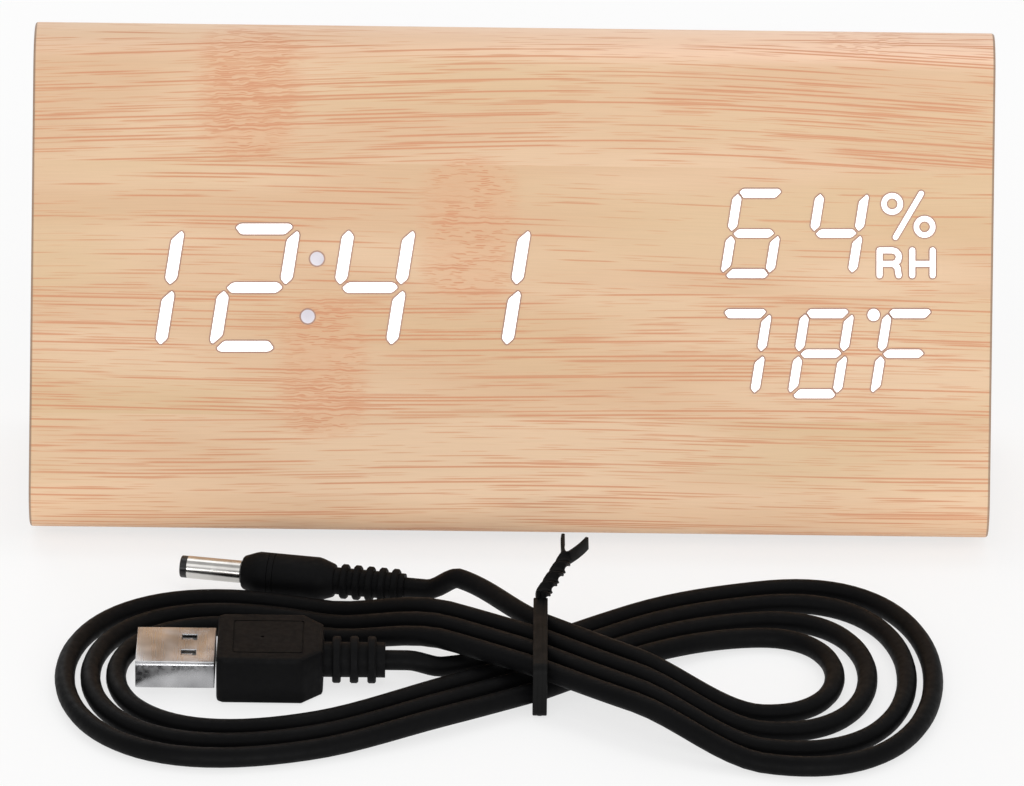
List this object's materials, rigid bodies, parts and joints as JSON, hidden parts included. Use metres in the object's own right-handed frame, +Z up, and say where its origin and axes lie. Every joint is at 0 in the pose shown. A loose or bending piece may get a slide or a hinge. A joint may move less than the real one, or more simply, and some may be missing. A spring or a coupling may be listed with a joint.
{
  "type": "digital clock",
  "caption": "Wooden wedge-shaped digital clock whose light segments show through its leaning face, with buttons and a battery door at the back and its charging lead folded in front.",
  "frame": {"origin": "under the middle of the case, on the surface that its feet stand on", "axes": "+X to the right along the case, -Y out of the face, +Z up"},
  "size_m": [0.15, 0.1196, 0.0739],
  "materials": {
    "case_wood": "satin light wood with fine grain along the case",
    "end_wood": "satin end panel",
    "foot_rubber": "matt",
    "lit_guide": "lit white diffuser",
    "dim_guide": "pale grey diffuser",
    "white_plastic": "matt",
    "board": "green lacquer",
    "black_plastic": "fine matt texture",
    "component_black": "matt",
    "steel": "satin",
    "nickel": "plated",
    "cell_skin": "plain wrap",
    "lead_rubber": "satin black",
    "tie_plastic": "satin black ribbon"
  },
  "bodies": {
    "clock": {"case_shell": "case_wood", "left_end_panel": "end_wood", "right_end_panel": "end_wood", "foot_front_left": "foot_rubber", "foot_front_right": "foot_rubber", "foot_back_left": "foot_rubber", "foot_back_right": "foot_rubber", "time_digit_1": "lit_guide", "time_digit_2": "lit_guide", "time_digit_3": "lit_guide", "time_digit_4": "lit_guide", "colon_guide": "dim_guide", "humidity_digit_1": "lit_guide", "humidity_digit_2": "lit_guide", "humidity_sign": "lit_guide", "temperature_digit_1": "lit_guide", "temperature_digit_2": "lit_guide", "temperature_sign": "lit_guide", "reflector_frame": "white_plastic", "led_board": "board", "display_screw_1": "steel", "display_screw_2": "steel", "display_screw_3": "steel", "display_screw_4": "steel", "display_driver": "component_black", "rear_panel": "black_plastic", "panel_screw_1": "steel", "panel_screw_2": "steel", "panel_screw_3": "steel", "panel_screw_4": "steel", "battery_cell_1": "cell_skin", "battery_cell_2": "cell_skin", "battery_cell_3": "cell_skin", "contact_strip_left": "steel", "contact_strip_right": "steel", "control_board": "board", "board_screw_1": "steel", "board_screw_2": "steel", "tact_switch_1": "component_black", "tact_switch_2": "component_black", "tact_switch_3": "component_black", "charging_socket": "component_black", "buzzer": "component_black", "coin_cell": "steel", "coin_cell_clip": "steel", "climate_sensor": "white_plastic", "microcontroller": "component_black", "crystal": "steel", "ribbon_cable": "white_plastic", "cord_hank": "lead_rubber", "usb_shell": "steel", "usb_tongue": "white_plastic", "usb_grip": "lead_rubber", "dc_barrel": "nickel", "dc_grip": "lead_rubber", "twist_tie": "tie_plastic"},
    "set_key": {"set_button": "black_plastic"},
    "up_key": {"up_button": "black_plastic"},
    "down_key": {"down_button": "black_plastic"},
    "door": {"battery_door": "black_plastic"}
  },
  "joints": [
    {"name": "set_press", "type": "slide", "parent": "clock", "child": "set_key", "axis": [0, -0.9962, -0.0872], "range_m": [0, 0.0005], "stiffness_N_per_m": 600},
    {"name": "up_press", "type": "slide", "parent": "clock", "child": "up_key", "axis": [0, -0.9962, -0.0872], "range_m": [0, 0.0005], "stiffness_N_per_m": 600},
    {"name": "down_press", "type": "slide", "parent": "clock", "child": "down_key", "axis": [0, -0.9962, -0.0872], "range_m": [0, 0.0005], "stiffness_N_per_m": 600},
    {"name": "door_turn", "type": "hinge", "parent": "clock", "child": "door", "pos_m": [0.03135, 0.02165, 0.01461], "axis": [-1, 0, 0], "range_deg": [0, 95]}
  ]
}
